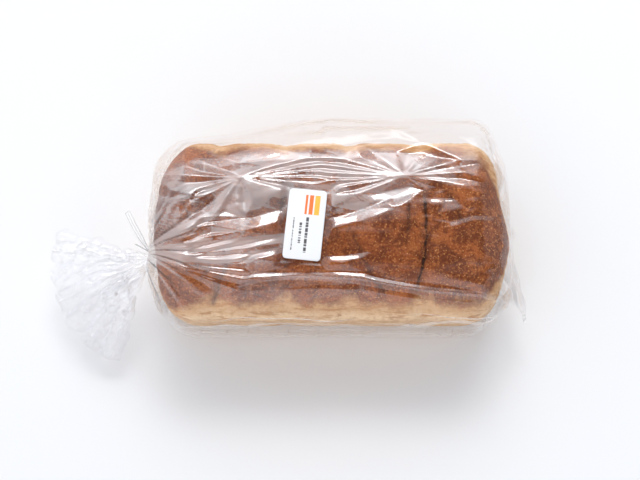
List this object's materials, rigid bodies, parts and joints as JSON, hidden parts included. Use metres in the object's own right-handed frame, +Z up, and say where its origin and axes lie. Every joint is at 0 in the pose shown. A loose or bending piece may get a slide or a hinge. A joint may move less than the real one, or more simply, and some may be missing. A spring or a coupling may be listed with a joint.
{
  "type": "tin loaf in a tied clear bag",
  "caption": "Whole tin loaf with a domed brown crust in a clear film bag, tied at one end with a fanned-out tail, with a small plain label on top.",
  "frame": {"origin": "middle of the whole outline, tail included, on the surface that the loaf stands on", "axes": "+Z up through the domed crust, +X along the loaf from the tied end towards the sealed end, +Y towards the far long side, where the film stands off the loaf"},
  "size_m": [0.356, 0.1668, 0.1212],
  "materials": {
    "film": "thin clear bag film, crumpled, with sharp white glints and a faint milky haze",
    "crust": "baked wholemeal crust, warm brown on the dome with bran flecks and fine blisters, pale gold on the sides",
    "label": "smooth white sticker paper with plain printed blocks",
    "tie": "flat milky plastic ribbon with a wire down its middle"
  },
  "bodies": {
    "root": {"bag": "film", "label": "label", "tie": "tie"}
  },
  "joints": []
}
